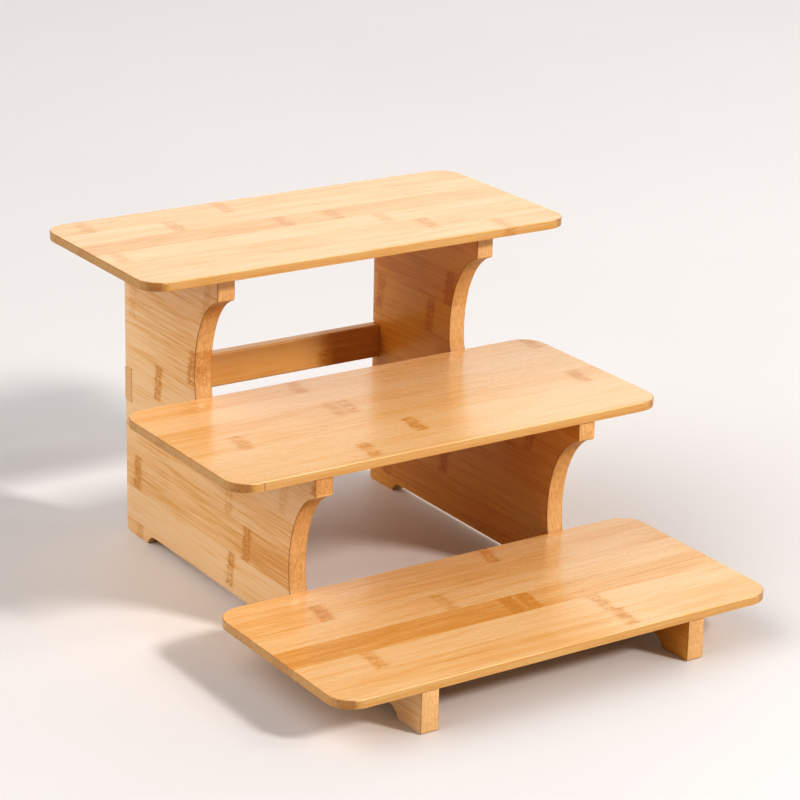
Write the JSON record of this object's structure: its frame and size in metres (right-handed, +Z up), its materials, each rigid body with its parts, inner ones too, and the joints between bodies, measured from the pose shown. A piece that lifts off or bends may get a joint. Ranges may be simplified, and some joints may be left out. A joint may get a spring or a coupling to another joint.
{
  "type": "tiered shelf riser",
  "caption": "Free-standing stepped wooden riser: thin rounded shelves on two stepped side boards with oval front cut-outs, tied by a back rail, for raising jars and cups in tiers.",
  "frame": {"origin": "on the floor under the middle of the overall footprint", "axes": "+Z up, +X to the right along the shelves, +Y from the low front tier to the high back tier"},
  "size_m": [0.4, 0.4696, 0.2752],
  "materials": {
    "shelf_bamboo": "satin",
    "side_bamboo": "satin",
    "rail_bamboo": "satin",
    "dowel_wood": "matt",
    "screw_steel": "zinc plated"
  },
  "bodies": {
    "root": {"shelf_bottom": "shelf_bamboo", "shelf_middle": "shelf_bamboo", "shelf_top": "shelf_bamboo", "side_board_left": "side_bamboo", "side_board_right": "side_bamboo", "back_rail": "rail_bamboo", "bottom_dowels": "dowel_wood", "middle_dowels": "dowel_wood", "top_dowels": "dowel_wood", "rail_screws": "screw_steel"}
  },
  "joints": []
}
